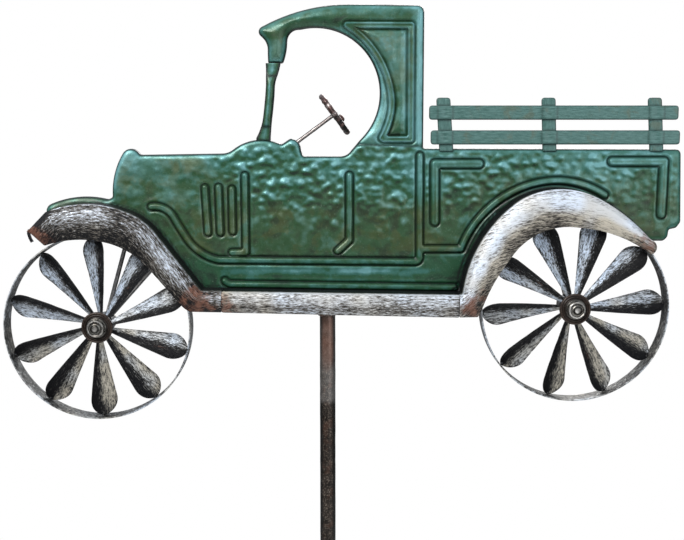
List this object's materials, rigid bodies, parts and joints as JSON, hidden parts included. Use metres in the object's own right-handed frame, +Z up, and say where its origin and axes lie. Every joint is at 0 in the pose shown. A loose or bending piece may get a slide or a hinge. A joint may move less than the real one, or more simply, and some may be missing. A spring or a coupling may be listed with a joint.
{
  "type": "garden windmill",
  "caption": "Pressed-steel pickup truck garden spinner on a ground stake, with freely spinning bladed wheels.",
  "frame": {"origin": "on the pole's axis at ground level, where the spike leaves the ground", "axes": "+Z up the pole, +X from the truck's radiator to its tail, and the embossed side faces -Y"},
  "size_m": [0.5413, 0.0504, 0.986],
  "materials": {
    "green_enamel": "glossy, hammered, with olive patina",
    "rail_green": "satin, with brown patches",
    "brushed_silver": "silver dry-brushed over black",
    "pewter": "black with a silver dry brush",
    "brown_hub": "satin",
    "zinc_steel": "zinc plated",
    "black_enamel": "gloss",
    "aged_copper": "hammered dark copper",
    "brown_pole": "satin, speckled",
    "bronze": "plain sintered"
  },
  "bodies": {
    "truck": {"body_panel": "green_enamel", "windshield_post": "green_enamel", "upper_slat": "rail_green", "lower_slat": "rail_green", "front_stake": "rail_green", "middle_stake": "rail_green", "rear_stake": "rail_green", "front_fender": "brushed_silver", "rear_fender": "brushed_silver", "running_board": "brushed_silver", "steering_column": "aged_copper", "steering_wheel_rim": "aged_copper", "steering_wheel_spider": "aged_copper", "upper_pole": "brown_pole", "lower_pole": "brown_pole", "ground_spike": "brown_pole", "step_fork": "brown_pole", "pole_plug": "zinc_steel", "pole_saddle": "black_enamel", "front_axle_bolt": "zinc_steel", "front_lock_nut": "zinc_steel", "front_washer": "zinc_steel", "front_spacer": "zinc_steel", "front_axle_boss": "black_enamel", "front_struts": "black_enamel", "rear_axle_bolt": "zinc_steel", "rear_lock_nut": "zinc_steel", "rear_washer": "zinc_steel", "rear_spacer": "zinc_steel", "rear_axle_boss": "black_enamel", "rear_struts": "black_enamel"},
    "front_wheel": {"front_rim": "pewter", "front_hub": "brown_hub", "front_hub_bushes": "bronze", "front_blade_01": "pewter", "front_blade_02": "pewter", "front_blade_03": "pewter", "front_blade_04": "pewter", "front_blade_05": "pewter", "front_blade_06": "pewter", "front_blade_07": "pewter", "front_blade_08": "pewter", "front_blade_09": "pewter", "front_blade_10": "pewter"},
    "rear_wheel": {"rear_rim": "pewter", "rear_hub": "brown_hub", "rear_hub_bushes": "bronze", "rear_blade_01": "pewter", "rear_blade_02": "pewter", "rear_blade_03": "pewter", "rear_blade_04": "pewter", "rear_blade_05": "pewter", "rear_blade_06": "pewter", "rear_blade_07": "pewter", "rear_blade_08": "pewter", "rear_blade_09": "pewter", "rear_blade_10": "pewter"}
  },
  "joints": [
    {"name": "front_wheel_spin", "type": "hinge", "parent": "truck", "child": "front_wheel", "pos_m": [-0.1825, -0.005, 0.6123], "axis": [0, -1, 0], "continuous": true},
    {"name": "rear_wheel_spin", "type": "hinge", "parent": "truck", "child": "rear_wheel", "pos_m": [0.196, -0.005, 0.627], "axis": [0, -1, 0], "continuous": true}
  ]
}
